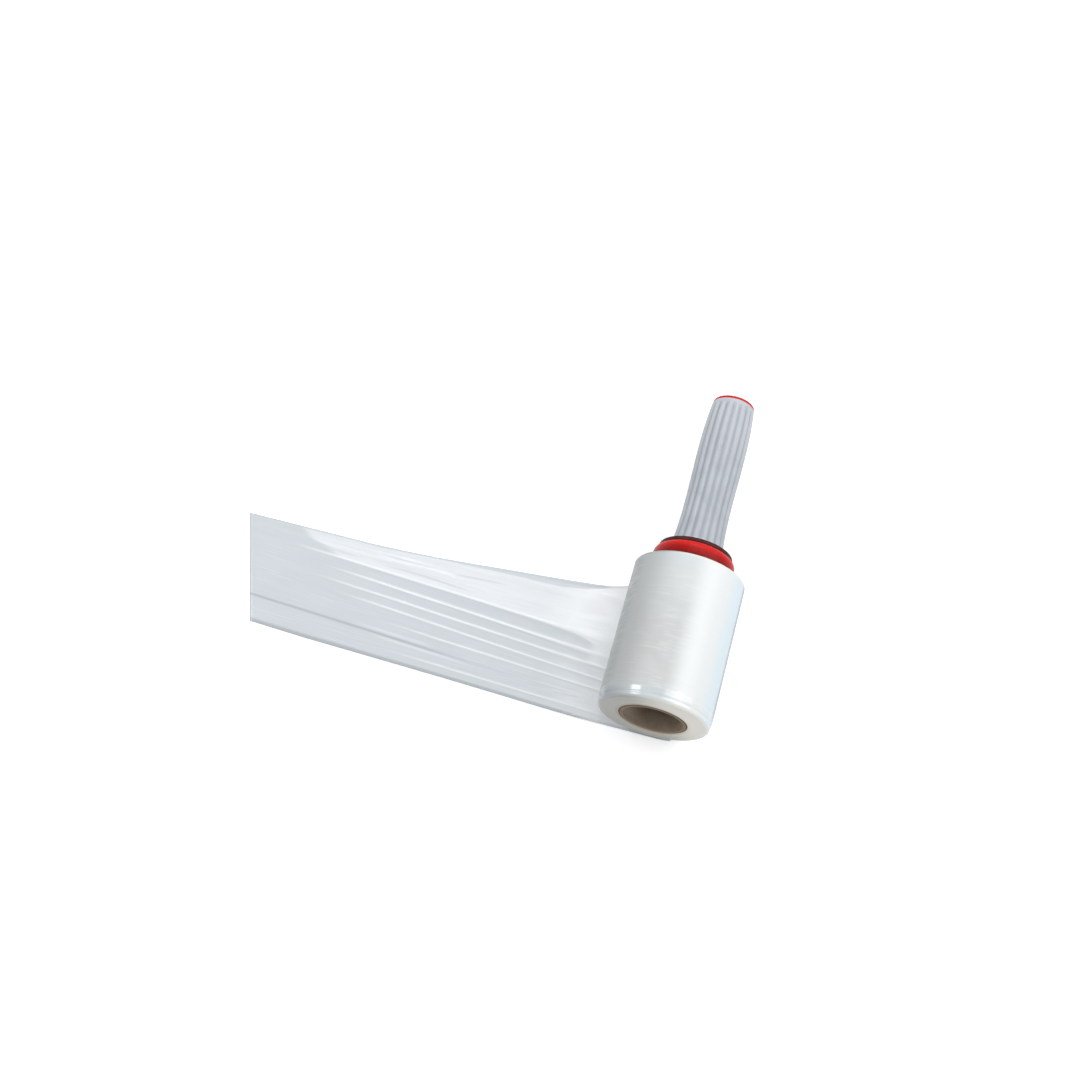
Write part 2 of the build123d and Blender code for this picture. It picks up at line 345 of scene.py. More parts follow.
film, spot = new_finish(
    "wound film",
    {
        "IOR": 1.5,
        "Coat Roughness": 0.12,
        "Subsurface Weight": 0.25,
        "Subsurface Radius": (1.0, 1.0, 0.85),
        "Subsurface Scale": 0.004,
    },
)
radius, station, _ = around_axis(spot)
side, _, up = spot.parts()
off_middle = (station - width / 2).math("ABSOLUTE")
end_face = off_middle.rise(width / 2 - 2.4, width / 2 - 0.6)
bands = station.lines(9, 1)
hairlines = station.lines(0.7, 3)
cling = spot.noise(22, 3)
wraps = spot.stretch(0.1, 1, 0.1).noise(1.7, 3)
far_lip = station.rise(width - 2.2, width - 1.2)
rim_painted_highlight = side.rise(-30, -12) * side.rise(6, -6) * 0.6 + 0.15
outside = overlay(
    (bands * 0.3 + cling * 0.7).rise(0.3, 0.7).mix(tint(198, 200, 198), tint(206, 208, 207)),
    (hairlines.rise(0.4, 0.8) * 0.25, tint(186, 190, 191)),
    (wraps.rise(0.5, 0.7) * 0.35, tint(222, 226, 224)),
    # Both ends, then the far half
    (off_middle.rise(width / 2 - 16, width / 2 - 3) * 0.6, tint(198, 210, 216)),
    (station.rise(60, 105) * 0.5, tint(220, 224, 226)),
    # Right flank: painted light, then a painted bluish reflection, with a painted
    # dark line where the film turns away
    (side.rise(0, 20), tint(231, 233, 232)),
    (side.rise(30, 41) * 0.8, tint(214, 229, 236)),
    ((side + hairlines * 1.5).rise(43.9, 45.5) * 0.8, tint(142, 160, 172)),
    # Left flank: painted shade, then streaks of painted shade where it turns away
    (side.rise(-6, -42) * 0.8, tint(164, 167, 166)),
    (side.rise(-35, -42) * wraps.rise(0.35, 0.6) * 0.5, tint(138, 145, 147)),
    # Painted highlight on the far rim, strongest a little left of the top
    (far_lip * rim_painted_highlight, tint(240, 244, 247)),
    # Painted shade on the left side of the near end
    (station.rise(11, 4) * side.rise(-20, -40) * 0.6, tint(132, 143, 152)),
)
turn_edges = radius.lines(0.55, 3)
wound = radius.rise(core_radius, roll_radius)
bore_to_skin = [
    (0.0, tint(140, 118, 90)),
    (0.1, tint(196, 186, 162)),
    (0.3, tint(190, 185, 168)),
    (0.55, tint(176, 173, 162)),
    (0.85, tint(180, 181, 175)),
    (1.0, tint(202, 208, 207)),
]
cut_ends = overlay(
    wound.node("ShaderNodeValToRGB", {"stops": bore_to_skin}, {"Fac": wound}),
    (turn_edges.rise(0.4, 0.7) * 0.35, tint(150, 144, 128)),
    (radius.lines(3.1, 1).rise(0.48, 0.62) * 0.45, tint(160, 155, 141)),
    # Painted shade on the left of the cut ends
    (side.rise(2, -32) * 0.6, tint(140, 140, 134)),
    # Painted light on the right and upper part of the cut ends
    ((side + up * 0.5).rise(-6, 34) * 0.8, tint(240, 236, 224)),
)
paint(
    film,
    {
        "Base Color": end_face.mix(outside, cut_ends),
        "Roughness": cling * 0.12 + 0.26 + end_face * 0.15 - station.rise(16, 7) * 0.16,
        "Coat Weight": station.rise(14, 9),
    },
    hairlines * 0.3 + bands * 0.2 + wraps * 0.5 + turn_edges * end_face,
    0.07,
)

winding = spin_outline(
    [
        (film_bore, end_waver, 0.2),
        (roll_radius, end_waver, near_rounding),
        (roll_radius, width - end_waver, far_rounding),
        (film_bore, width - end_waver, 0.2),
    ],
    224,
    across=turn_step,
    along=length_step,
    past=core_radius + 1,
)
for vert in winding.verts:
    out = Vector((vert.co.x, 0, vert.co.z))
    reach = out.length
    out.normalize()
    from_near = vert.co.y
    at_skin = eased(reach, core_radius, roll_radius - near_rounding) ** 3
    # On both ends, single turns and whole groups of them stand a little in or out
    if reach < roll_radius - near_rounding - 0.01:
        ragged = noise.noise(Vector((reach * turns_wave, 0, 0)))
        ragged += 0.5 * noise.noise(Vector((reach * groups_wave, 5, 0)))
        facing = 1 if from_near > width / 2 else -1
        vert.co.y += facing * ragged * end_waver * 0.6
    # The skin has shallow bands and dents, a taper and a groove at its near end, and a
    # swollen far rim
    swell = fullness + band_height * noise.noise(Vector((from_near * bands_wave, 3, 0)))
    swell += dent_depth * noise.noise(Vector((out.x * 2, from_near * dents_wave, out.z * 2)))
    tapered = max(taper_length - from_near, 0)
    swell -= taper_slope * tapered * tapered / (tapered + taper_onset)
    swell -= groove_depth * math.exp(-(((from_near - groove_at) / groove_breadth) ** 2))
    vert.co += out * at_skin * swell
    vert.co.y += far_swell * at_skin * eased(from_near, width - 8, width - 1)
    vert.co.z = max(vert.co.z, floor + tail_lift)
place(winding, "Wound_film", "roll", film, "film", "film_roll")


# Drawn-off tail: the same film, pulled off below the roll and laid out. It narrows as
# it is pulled. Tension lines fan out along it, and the slack on its far side lifts.
tail_start = 17.0
cut_far = (-376.0, 102.4)
cut_near = (-342.0, 8.8)
tail_base = 0.14
film_thickness = 0.16
tail_float, lift_off, settles = 0.5, (-8, -60), (-290, -365)
slack_height, slack_across = 0.55, (0.63, 0.8)
slack_starts, slack_ends = (-335, -290), (-30, -70)
curl_height, curl_across = 0.5, (4.0, 0.5)
curl_starts, curl_ends = (-240, -150), (-52, -72)
crinkle_height = 0.08

far_edge = [
    (0, 125), (-38, 124.6), (-46, 123.4), (-54, 120.8), (-63, 118.3), (-76, 116.5),
    (-92, 114.9), (-120, 112.4), (-149, 110.0), (-178, 107.4), (-206, 105.2),
    (-235, 103.6), (-264, 102.6), (-376, 102.4),
]
near_edge = [
    (0, 0.2), (-61, 0.2), (-90, 0.9), (-118, 1.9), (-175, 3.8), (-233, 5.3),
    (-292, 6.7), (-342, 8.8),
]

# Each tension line, from the near edge: its share of the way across, where it crosses
# the line at crossing_x, how far it turns for each mm, its height and breadth, its start
# and its end. The second is a plain crease. The slack begins beyond the last one.
crossing_x = -80
tension_lines = [
    (0.072, 8.8, 0.038, 0.25, 0.9, -45, -240),
    (0.166, 18.6, 0.05, 0.0, 1.0, -60, -390),
    (0.246, 28.7, 0.056, 0.3, 0.9, -40, -250),
    (0.329, 38.2, 0.074, 0.35, 0.9, -40, -295),
    (0.416, 48.3, 0.067, 0.4, 1.0, -40, -315),
    (0.505, 58.3, 0.069, 0.55, 1.1, -50, -305),
    (0.621, 72.4, 0.0515, 0.8, 1.7, -30, -340),
]


def read_off(points, x):
    """Straight lines through (x, value) points, which run towards -x, read at x."""
    for (x0, value0), (x1, value1) in zip(points, points[1:]):
        if x >= x1:
            return value1 + (value0 - value1) * (min(x, x0) - x1) / (x0 - x1)
    return points[-1][1]


def across_tail(x, share):
    """Y of the point a share of the way across the tail, which follows its lines."""
    knots = [(0.0, read_off(near_edge, x))]
    for line_share, crossing, turn, *_ in tension_lines:
        knots.append((line_share, crossing - turn * (x - crossing_x)))
    knots.append((1.0, read_off(far_edge, x)))
    for (share0, y0), (share1, y1) in zip(knots, knots[1:]):
        if share <= share1:
            return y0 + (y1 - y0) * (share - share0) / (share1 - share0)
    return knots[-1][1]


def tail_height(x, y, share):
    """Height of the tail over the floor."""
    far = read_off(far_edge, x)
    height = tail_float * eased(x, *lift_off) * (1 - 0.8 * eased(x, *settles))
    # The two high lines run out broader towards the roll
    widening = 1.8 * eased(x, -200, -75) + 8 * eased(x, -80, -56)
    for line in tension_lines:
        _, crossing, turn, high, breadth, start, end = line
        off = y - (crossing - turn * (x - crossing_x))
        fade = eased(x, start + 10, start - 12) * eased(x, end, end + 60)
        wander = 1 + 0.3 * noise.noise(Vector((x * 0.03, crossing, 0)))
        near_breadth = breadth * (1 + (widening if high > 0.5 else 0))
        if line is tension_lines[-1] and off > 0:
            height += fade * high * max(1 - off / (far - y + off), 0) ** 0.85
        elif off < 0:
            height += fade * high * wander * math.exp(-((-off / near_breadth) ** 1.4))
        else:
            height += fade * high * wander * math.exp(-((off / breadth) ** 1.6))
    slack = eased(share, *slack_across) * eased(x, *slack_starts) * eased(x, *slack_ends)
    ripple = noise.noise(Vector((x * 0.011, y * 0.09, 4)))
    ripple += 0.35 * noise.noise(Vector((x * 0.02, y * 0.28, 9)))
    height += slack_height * slack * ripple * eased(far - y, 0, 8)
    curl = eased(far - y, *curl_across) * eased(x, *curl_starts) * eased(x, *curl_ends)
    height += curl_height * curl
    crinkle = noise.noise(Vector((x * 0.05, y * 0.5, 1)))
    height += crinkle_height * (crinkle + 1) * eased(x, -40, -70)
    return max(height, 0.0)


sheet_film, spot = new_finish(
    "drawn film", {"IOR": 1.5, "Coat Weight": 0.7, "Coat Roughness": 0.16, "Alpha": 0.92}
)
at_x, at_y, _ = spot.parts()
flat_place = Wire(spot.socket.id_data.nodes["Texture Coordinate"].outputs["UV"])
_, flat_share, _ = flat_place.parts()
streaks = flat_place.stretch(7, 150, 1).noise(1, 3)
veins = flat_place.stretch(3, 45, 1).noise(1, 2)
haze = flat_place.stretch(5, 7, 1).noise(1, 2)


def off_line(crossing, turn):
    """Distance in y from a tension line."""
    return at_y + at_x * turn - (crossing + turn * crossing_x)


def stroke(breadth, strength, *points):
    """Strength on straight lines through (x, y) points, fading beside and at both ends."""
    beside = (at_y - at_x.follow(points)).math("ABSOLUTE").rise(breadth, 0)
    start, end = points[0][0], points[-1][0]
    fade = (end - start) * 0.3
    return beside * at_x.rise(start, start + fade) * at_x.rise(end, end - fade) * strength


# Edges, as (x, y), of the slack, of the painted light beside the roll and of the painted
# shade on the curled far edge. The far end of the slack is (y, x).
slack_edge = [
    (-335, 85.6), (-300, 83.0), (-200, 77.8), (-160, 75.2), (-120, 72.4), (-100, 71),
    (-80, 69), (-70, 67), (-57, 61.5),
]
slack_begins = [(82, -290), (89, -303), (93, -318), (96, -323), (103, -330)]
white_edge = [(-80, 48.6), (-45, 45.2)]
curl_shade_edge = [
    (-330, 101), (-260, 100.6), (-200, 104), (-160, 105.8), (-120, 106.6), (-100, 107.3),
    (-80, 111), (-58, 118),
]
slack_side = (at_y - at_x.follow(slack_edge)).rise(-0.5, 1.6)
slack_start = (at_x - at_y.follow(slack_begins)).rise(-3, 9)
painted_light_by_roll = at_x.rise(-68, -55) * (at_y - at_x.follow(white_edge)).rise(-0.8, 1.2)
# Painted shade along the curled far edge
curl_shade = (at_y - at_x.follow(curl_shade_edge)).rise(-0.5, 0.7) * at_x.rise(-57, -67)
# The slack is white as milkier, less stretched film and as painted reflection, and beside the
# roll it is painted light where the roll shades the tail
milky_and_painted_light = (slack_side * slack_start).either(painted_light_by_roll) * (1 - curl_shade * 0.9)
milky_and_painted_light = (milky_and_painted_light * (0.4 + haze * 0.3 + at_x.rise(-115, -66) * 0.6)).math("MINIMUM", 1)

# Painted shadows of the folds in the slack, and painted shade along the one crease
fold_shadows = veins.rise(0.52, 0.7) * slack_side * at_x.rise(-90, -190) * 0.3
for shadow in (
    stroke(1.5, 0.75, (-262, 96.2), (-225, 94.3), (-196, 94.2)),
    stroke(1.6, 0.75, (-262, 86.6), (-215, 85.2), (-160, 81.4)),
    stroke(1.5, 0.7, (-200, 93.2), (-170, 95.2), (-140, 96.8)),
    stroke(2.2, 0.6, (-345, 95.5), (-318, 92), (-296, 88.6), (-262, 87)),
    stroke(0.9, 0.5, (-106, 107.2), (-80, 111), (-60, 117.4)),
    stroke(2.4, 0.3, (-120, 70.4), (-90, 67.6), (-57, 61.6)),
    stroke(1.8, 0.35, (-110, 57.8), (-66, 54.4)),
):
    fold_shadows = fold_shadows.either(shadow)
crease_shade = stroke(2.0, 1.0, (-480, 38.9), (-350, 32.1), (-200, 24.6), (-90, 19.1))

# Painted highlights along the ridges of the tension lines, where the stretched film also whitens
stretch_white_and_highlights = stroke(1.8, 0.25, (-260, 31), (-180, 27))
stretch_white_and_highlights = stretch_white_and_highlights.either(stroke(1.8, 0.3, (-250, 24.4), (-150, 19.6)))
stretch_white_and_highlights = stretch_white_and_highlights.either(stroke(1.3, 0.4, (-105, 22), (-30, 18.2)))
for _, crossing, turn, high, _, _, end in tension_lines:
    if high:
        spread = at_x.rise(-125, -62) * (1.3 if high > 0.38 else 0) + (1.15 + high * 0.7)
        ridge = off_line(crossing, turn).math("ABSOLUTE").rise(spread, 0.1)
        ridge = ridge * at_x.rise(end, end + 70) * (0.7 + streaks * 0.5)
        stretch_white_and_highlights = stretch_white_and_highlights.either(ridge * min(high * 1.6 + 0.1, 1))

far_cut = flat_share.rise(0.978, 0.992) * (at_x.rise(-280, -345) * 0.3 + 0.3)
sheet_edges = flat_share.rise(0.032, 0.01).either(far_cut)
drawn = overlay(
    (streaks * 0.5 + haze * 0.5).rise(0.3, 0.7).mix(tint(204, 210, 214), tint(210, 216, 220)),
    # Painted light near the roll, where the roll shades the tail
    (at_x.rise(-105, -48) * 0.9, tint(236, 240, 243)),
    # Milkier slack with painted reflection, and painted light beside the roll
    (milky_and_painted_light, tint(250, 252, 254)),
    # Painted shadows of the folds, then painted shade along the crease
    (fold_shadows, tint(208, 214, 220)),
    (crease_shade * at_x.rise(-60, -230), tint(180, 186, 192)),
    # Painted highlights and whitening along the tension lines
    (stretch_white_and_highlights, tint(250, 252, 254)),
    # Painted shade along the curled far edge
    (curl_shade * at_x.rise(-250, -180) * 0.6, tint(212, 219, 226)),
    (sheet_edges * 0.85, tint(168, 174, 179)),
    # Painted light right beside the roll, where the roll shades the tail
    (at_x.rise(-66, -48) * (1 - painted_light_by_roll) * 0.5, tint(246, 248, 250)),
)
paint(
    sheet_film,
    {"Base Color": drawn, "Roughness": streaks * 0.12 + 0.2},
    streaks * (at_x.rise(-100, -260) * 0.75 + 0.15),
    0.025,
)

# Rows of the tail's grid, as shares of the way across: close at both edges, at the
# tension lines and in the slack, and none closer than least_row
tail_breadth = 118
slack_from, slack_rows = 0.65, 32
least_row = 0.0015
columns = 190
rows = [0.0, 0.004, 0.01, 0.018, 0.028, 0.04, 0.966, 0.975, 0.984, 0.993, 0.998]
for share, _, _, _, breadth, _, _ in tension_lines:
    for step in (-4, -2.8, -1.9, -1.2, -0.75, -0.4, 0, 0.4, 0.75, 1.2, 1.9, 3):
        rows.append(share + step * breadth / tail_breadth)
rows += [slack_from + (1 - slack_from) * step / slack_rows for step in range(slack_rows + 1)]
rows = sorted(rows)
rows = [row for row, following in zip(rows, rows[1:] + [2]) if following - row > least_row]


def grid_row(vert):
    """Share of the way across the tail for a corner of the plain grid."""
    return rows[round((vert.co.y + 1) / 2 * (len(rows) - 1))]


tail = bmesh.new()
flat_map = tail.loops.layers.uv.new("flat")
bmesh.ops.create_grid(
    tail, x_segments=columns, y_segments=len(rows) - 1, size=1, calc_uvs=True
)
for face in tail.faces:
    for corner in face.loops:
        corner[flat_map].uv = ((1 - corner.vert.co.x) / 2, grid_row(corner.vert))
cut_slant = (cut_far[0] - cut_near[0]) / (cut_far[1] - cut_near[1])
for vert in tail.verts:
    share = grid_row(vert)
    end_y = across_tail(cut_far[0] * 0.95, share)
    end_x = cut_near[0] + cut_slant * (end_y - cut_near[1])
    x = tail_start + (end_x - tail_start) * (1 - vert.co.x) / 2
    y = across_tail(x, share)
    z = floor + tail_base + tail_height(x, y, share)
    if x > 0:
        hug = roll_radius + tail_base - 0.5 * eased(x, tail_start - 4, tail_start)
        z = max(z, -math.sqrt(hug * hug - x * x))
    vert.co = (x, y, z)
drawn_tail = place(
    tail, "Drawn_tail", "roll", sheet_film, "film", "film_roll", sharp=180
)
walls = drawn_tail.modifiers.new("film thickness", "SOLIDIFY")
walls.thickness = film_thickness / 1000
walls.offset = 0


# Hub: one red injection moulding. Its collar bears on the end of the roll, and its
# ribbed spigot is pushed into the core, so that it turns with the roll.
seat_gap = 0.1
collar_foot = width + seat_gap
collar_radius = span("hub")[1].x
plate_top = collar_foot + 17.9
plate_foot = plate_top - 3.4
shoulder = collar_foot + 13
shoulder_radius = 33.7
shoulder_points = 9
top_radius = 29.2
collar_wall = 2.6
register_inside, register_radius, register_height = 15.8, 18, 2.2
bolt_hole = 4.2
spigot_radius = core_bore - 0.9
spigot_wall = 2.5
boss_radius = 11.5
boss_foot = plate_foot - 10.5
ribs = 8
rib_width = 2.2
rib_root = spigot_radius - 0.8
rib_clearance = 0.05

red, spot = new_finish("red moulded plastic", {"Specular IOR Level": 0.15})
flow = spot.noise(14, 3)
grain = spot.noise(0.35, 2)
scuffs = spot.stretch(0.25, 1, 1).noise(2.2, 4).rise(0.62, 0.75)
_, station, _ = spot.parts()
shell = overlay(
    flow.rise(0.3, 0.7).mix(tint(158, 8, 9), tint(174, 14, 14)),
    # Painted highlight on the shoulder
    (station.rise(collar_foot + 10, collar_foot + 14) * 0.85, tint(212, 32, 26)),
    # Painted shade low on the collar, next to the roll
    (station.rise(collar_foot + 11, collar_foot + 4) * 0.8, tint(98, 4, 6)),
    (scuffs * 0.2, tint(200, 70, 66)),
)
paint(
    red,
    {"Base Color": shell, "Roughness": flow * 0.1 + 0.22 + scuffs * 0.15},
    grain * 0.5 + scuffs * 0.3,
    0.02,
)

crown = []
for step in range(shoulder_points):
    angle = math.pi / 2 * step / (shoulder_points - 1)
    crown_radius = top_radius + (shoulder_radius - top_radius) * math.cos(angle)
    crown.append((crown_radius, shoulder + (plate_top - shoulder) * math.sin(angle), 0))
hub = spin_outline(
    [
        (collar_radius - 0.1, collar_foot, 0.3),
        *crown,
        (register_radius, plate_top, 0.3),
        (register_radius, plate_top + register_height, 0.4),
        (register_inside, plate_top + register_height, 0.4),
        (register_inside, plate_top, 0.3),
        (bolt_hole, plate_top, 0.2),
        (bolt_hole, boss_foot, 0.2),
        (boss_radius, boss_foot, 0.5),
        (boss_radius, plate_foot, 0.5),
        (spigot_radius - spigot_wall, plate_foot, 0.5),
        (spigot_radius - spigot_wall, spigot_end, 0.5),
        (spigot_radius, spigot_end, 0.8),
        (spigot_radius, plate_foot, 0.5),
        (top_radius - 0.7, plate_foot, 0.5),
        (shoulder_radius - collar_wall, shoulder, 0.5),
        (collar_radius - collar_wall, collar_foot, 0.3),
    ],
    180,
)
for number in range(ribs):
    spoke = Matrix.Rotation(math.tau * number / ribs, 3, "Y")
    for rib_tip, low, high in (
        (core_bore + pressed_out - rib_clearance, spigot_end + 2, collar_foot),
        (collar_radius - collar_wall + 0.4, collar_foot, plate_foot + 0.4),
    ):
        rib = bmesh.ops.create_cube(hub, size=1)["verts"]
        middle = ((rib_tip + rib_root) / 2, (high + low) / 2, 0)
        bmesh.ops.scale(hub, vec=(rib_tip - rib_root, high - low, rib_width), verts=rib)
        bmesh.ops.translate(hub, vec=middle, verts=rib)
        bmesh.ops.rotate(hub, cent=(0, 0, 0), matrix=spoke, verts=rib)
place(hub, "Red_hub", "roll", red, "red_plastic", "hub")


# Friction ring: a moulded washer between the hub and the grip, which drags on the
# grip's foot so that the film stays tight while it is drawn. Its near-black colour is
# painted shade, for the shade in the gap between the hub and the grip.
ring_low, ring_high = span("friction_ring")
ring_bore = register_radius + 0.1

rubber, spot = new_finish("dark friction rubber", {"Specular IOR Level": 0.2})
bloom = spot.noise(5, 3)
# Near-black, as painted shade of the gap between the hub and the grip
dark = bloom.rise(0.3, 0.7).mix(tint(58, 20, 22), tint(80, 31, 32))
paint(rubber, {"Base Color": dark, "Roughness": bloom * 0.2 + 0.4}, spot.noise(0.3, 2), 0.03)

ring = spin_outline(
    [
        (ring_bore, ring_low.y, 0.2),
        (ring_high.x, ring_low.y, 0.7),
        (ring_high.x, ring_high.y, 0.7),
        (ring_bore, ring_high.y, 0.2),
    ],
    160,
)
place(ring, "Friction_ring", "roll", rubber, "friction_rubber", "friction_ring")


# Carriage bolt, washers and nuts: bright zinc-plated steel. The bolt's square neck sits
# in the hub, and the lock nut at its tip keeps the grip and the spring on.


def coat(node, material):
    """Give a solid of the frame its finish."""
    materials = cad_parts[node].data.materials
    materials.clear()
    materials.append(material)


zinc, spot = new_finish("zinc-plated steel", {"Metallic": 1.0})
spangle = spot.noise(2.5, 3)
brush = spot.stretch(1, 6, 1).noise(0.6, 3)
plate = spangle.rise(0.3, 0.7).mix(tint(182, 184, 186), tint(206, 207, 205))
paint(zinc, {"Base Color": plate, "Roughness": brush * 0.2 + 0.22}, brush, 0.01)
for fastener in (
    "carriage_bolt", "hub_washer", "jam_nut", "thrust_washer", "spring_washer", "lock_nut"
):
    coat(fastener, zinc)


# Brake spring: coiled from flat spring-steel strip, blued by its heat treatment. It
# presses the grip down on the friction ring.
blued, spot = new_finish("blued spring steel", {"Metallic": 1.0})
heat = spot.noise(6, 3)
bluing = heat.rise(0.3, 0.7).mix(tint(92, 96, 104), tint(132, 134, 138))
paint(blued, {"Base Color": bluing, "Roughness": heat * 0.2 + 0.25}, spot.noise(0.25, 2), 0.01)
coat("brake_spring", blued)


# Grip: a fluted sleeve of satin grey plastic, a little waisted above its foot. The
# film is drawn by this sleeve while the roll spins on the bolt.
grip_low, grip_high = span("grip")
grip_foot = grip_low.y
grip_length = grip_high.y - grip_low.y
flutes = 18
flute_radius = 3.0
flute_depth = 1.2
foot_band = 5.0
head_band = 5.5
grip_skin = 0.7
grip_girths = [(0, 21.7), (0.31, 19.3), (0.62, 19.9), (1, 17.9)]
girth_steps = 46
head_bore, waist_bore, foot_bore = 14.3, 16.8, 17.6
partition_foot, partition_top = grip_foot + 15, grip_foot + 18.5
bush_seat, bush_bore = 9.4, 6.45
bush_seat_foot = grip_foot + 8.5
inside = foot_bore - 0.3


def grip_girth(share):
    """Outside radius of the grip, a share of the way up it: a cubic through its girths."""
    total = 0.0
    for at, girth in grip_girths:
        weight = 1.0
        for other, _ in grip_girths:
            if other != at:
                weight *= (share - other) / (at - other)
        total += girth * weight
    return total


grey, spot = new_finish("satin grey plastic", {"IOR": 1.5})
_, station, turns = around_axis(spot)
pores = spot.noise(0.28, 2)
cloud = spot.noise(18, 3)
wear = spot.stretch(1, 0.3, 1).noise(6, 4)
# Painted shade in the bottoms of the flutes
flute_shade = ((turns * flutes).math("FRACT") - 0.5).math("ABSOLUTE").rise(0.3, 0.0)
flute_shade = flute_shade * station.rise(grip_foot + 3, grip_foot + 6)
flute_shade = flute_shade * station.rise(grip_high.y - 3, grip_high.y - 7)
plastic = overlay(
    cloud.rise(0.3, 0.7).mix(tint(172, 177, 184), tint(184, 189, 196)),
    (wear.rise(0.55, 0.75) * 0.2, tint(192, 196, 201)),
    # Painted light towards the head
    (station.rise(grip_high.y - 70, grip_high.y - 15) * 0.5, tint(200, 203, 209)),
    (flute_shade * 0.55, tint(128, 134, 142)),
    # Painted light on the smooth band at the foot
    (station.rise(grip_foot + 5.4, grip_foot + 4.0) * 0.8, tint(212, 216, 220)),
)
parting = 1 - ((turns * 2).math("FRACT") - 0.5).math("ABSOLUTE").rise(0.0, 0.003)
paint(
    grey,
    {"Base Color": plastic, "Roughness": pores * 0.12 + 0.34 + cloud * 0.08},
    pores * 0.7 + parting * 0.6,
    0.05,
)

outline = []
for step in range(girth_steps + 1):
    share = step / girth_steps
    rounding = 0.5 if step in (0, girth_steps) else 0
    outline.append((grip_girth(share), grip_foot + share * grip_length, rounding))
outline += [
    (head_bore, grip_foot + grip_length, 0.3),
    (waist_bore, partition_top, 0.4),
    (bush_seat, partition_top, 0.3),
    (bush_bore, partition_top, 0.2),
    (bush_bore, bush_seat_foot, 0.2),
    (bush_seat, bush_seat_foot, 0.3),
    (bush_seat, partition_foot, 0.3),
    (foot_bore - 0.4, partition_foot, 0.4),
    (foot_bore, grip_foot, 0.3),
]
sleeve = spin_outline(outline, flutes * 16, along=1.0, past=foot_bore + 0.1)
for vert in sleeve.verts:
    reach = math.hypot(vert.co.x, vert.co.z)
    height = vert.co.y - grip_foot
    if reach < inside or reach < grip_girth(height / grip_length) - grip_skin:
        continue
    off_flute = (math.atan2(vert.co.z, vert.co.x) / math.tau * flutes) % 1 - 0.5
    sideways = off_flute * math.tau / flutes * reach
    past_end = max(foot_band - height, height - (grip_length - head_band), 0)
    under_cutter = flute_radius**2 - sideways**2 - past_end**2
    cut = max(math.sqrt(max(under_cutter, 0)) - (flute_radius - flute_depth), 0)
    left_over = (reach - cut) / reach
    vert.co.x *= left_over
    vert.co.z *= left_over
place(sleeve, "Fluted_grip", "handle", grey, "grey_plastic", "grip", sharp=50)


# Flanged bush: white nylon, pressed into the grip's partition. The bolt turns in it, and
# its flange bears the washer under the spring.
nylon, spot = new_finish("white nylon", {"Subsurface Weight": 0.1, "Subsurface Scale": 0.002})
cloud = spot.noise(3, 3)
white_nylon = cloud.rise(0.3, 0.7).mix(tint(222, 219, 208), tint(236, 234, 226))
paint(
    nylon,
    {"Base Color": white_nylon, "Roughness": cloud * 0.2 + 0.3},
    spot.noise(0.3, 2),
    0.02,
)
coat("bush", nylon)


# End cap: a red moulded button with a low dome. It closes the head of the grip, and its
# short skirt snaps in there.
cap_low, cap_high = span("end_cap")
cap_foot = grip_high.y + seat_gap
cap_rim = 2.2
dome_radius, dome_height, dome_steps = 16.8, 1.3, 6
snap_inside, snap_radius = 12.2, 14.0

dome = []
for step in range(1, dome_steps + 1):
    reach = dome_radius * (1 - step / dome_steps)
    dome.append((reach, cap_high.y - dome_height * (reach / dome_radius) ** 2, 0))
cap = spin_outline(
    [
        (cap_high.x, cap_foot, 0.25),
        (cap_high.x, cap_foot + cap_rim, 0.7),
        *dome,
        (0, cap_foot, 0),
        (snap_inside, cap_foot, 0.3),
        (snap_inside, cap_low.y, 0.3),
        (snap_radius, cap_low.y, 0.5),
        (snap_radius, cap_foot, 0.2),
    ],
    128,
)
place(cap, "End_cap", "handle", red, "red_plastic", "end_cap")


# Studio: a pale floor that runs out of view and white all round, soft lights, and the
# camera of the photo.
floor_size = 6000.0
floor_glow = 0.36
room_light = 0.58

paper, spot = new_finish("pale floor", {"Roughness": 0.9, "Specular IOR Level": 0.1})
tone = spot.noise(300, 2)
paint(paper, {"Base Color": tone.mix(tint(244, 244, 245), tint(247, 247, 248))})
seen = tone.node("ShaderNodeLightPath", {}, {}, out="Is Camera Ray")
glow = seen.node("ShaderNodeEmission", {}, {"Color": (1, 1, 1, 1), "Strength": seen * floor_glow})
matt = Wire(paper.node_tree.nodes["Principled BSDF"].outputs[0])
both = glow.node("ShaderNodeAddShader", {}, {0: matt, 1: glow})
surface = paper.node_tree.nodes["Material Output"].inputs["Surface"]
paper.node_tree.links.new(both.socket, surface)

ground = bmesh.new()
bmesh.ops.create_grid(ground, x_segments=2, y_segments=2, size=floor_size / 2)
bmesh.ops.translate(ground, vec=(0, 0, floor), verts=ground.verts)
bmesh.ops.scale(ground, vec=(0.001, 0.001, 0.001), verts=ground.verts)
data = bpy.data.meshes.new("Floor")
ground.to_mesh(data)
ground.free()
data.materials.append(paper)
floor_piece = bpy.data.objects.new("Floor", data)
bpy.context.scene.collection.objects.link(floor_piece)

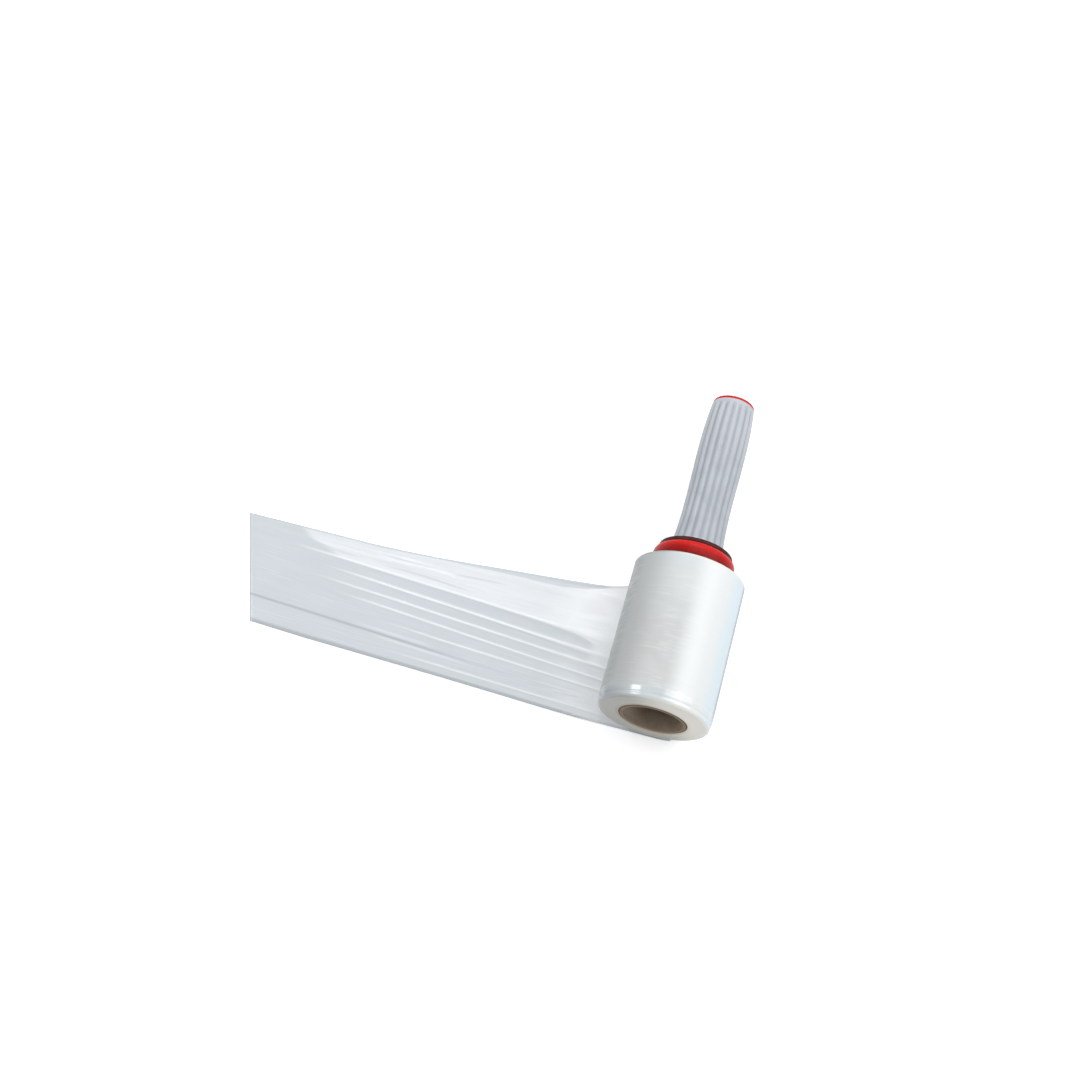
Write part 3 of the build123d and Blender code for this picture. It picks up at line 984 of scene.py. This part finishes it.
world = bpy.data.worlds.new("studio")
world.use_nodes = True
bpy.context.scene.world = world
nodes = world.node_tree.nodes
room = nodes["Background"]
room.inputs["Color"].default_value = (0.97, 0.985, 1.0, 1)
room.inputs["Strength"].default_value = room_light
path = nodes.new("ShaderNodeLightPath")
shown = Wire(path.outputs["Is Camera Ray"])
shown = shown.either(Wire(path.outputs["Is Glossy Ray"]))
shown = shown.either(Wire(path.outputs["Is Transmission Ray"]))
backdrop = shown.node("ShaderNodeBackground", {}, {"Color": (1, 1, 1, 1), "Strength": 1.0})
sky = shown.node("ShaderNodeMixShader", {}, {0: shown, 1: Wire(room.outputs[0]), 2: backdrop})
world.node_tree.links.new(sky.socket, nodes["World Output"].inputs["Surface"])

# Metres and degrees from here on, for the lamps and the camera
lit_point = Vector((-0.06, 0.13, -0.02))
camera_target = Vector((-0.1337, 0.1460, -0.045))
camera_azimuth, camera_elevation, camera_distance = 15.525, 65.418, 1.3562
camera_lens, camera_sensor = 53.63, 36


def way_out(azimuth, elevation):
    """Direction from the object to an azimuth, 0 in front, and an elevation in degrees."""
    turned, raised = math.radians(azimuth), math.radians(elevation)
    level = math.cos(raised)
    return Vector((math.sin(turned) * level, -math.cos(turned) * level, math.sin(raised)))


def soft_light(name, azimuth, elevation, distance, size, power, colour=(1.0, 1.0, 1.0)):
    """Rectangular light aimed at the middle of the object."""
    lamp = bpy.data.lights.new(name, "AREA")
    lamp.shape = "RECTANGLE"
    lamp.size, lamp.size_y = size
    lamp.energy = power
    lamp.color = colour
    light = bpy.data.objects.new(name, lamp)
    bpy.context.scene.collection.objects.link(light)
    way = way_out(azimuth, elevation)
    light.location = lit_point + way * distance
    light.rotation_euler = way.to_track_quat("Z", "Y").to_euler()


# The lamp over the tail shows mirrored in the film beside the roll
soft_light("back window", 176, 50, 1.9, (1.4, 0.5), 6)
soft_light("right window", 110, 40, 1.7, (1.1, 1.1), 6, colour=(0.97, 0.985, 1.0))
soft_light("skylight", 100, 62, 1.8, (1.0, 1.0), 6)
soft_light("left window", 271.5, 46, 1.2, (0.4, 0.4), 2.9)
soft_light("lamp over the tail", 189.4, 70, 1.45, (0.08, 0.15), 0.42)

shot = bpy.data.cameras.new("photo camera")
shot.lens = camera_lens
shot.sensor_width = camera_sensor
shot.clip_end = 50
camera = bpy.data.objects.new("photo camera", shot)
bpy.context.scene.collection.objects.link(camera)
back = way_out(camera_azimuth, camera_elevation)
camera.location = camera_target + back * camera_distance
camera.rotation_euler = (-back).to_track_quat("-Z", "Y").to_euler()
bpy.context.scene.camera = camera
bpy.context.scene.view_settings.view_transform = "Standard"
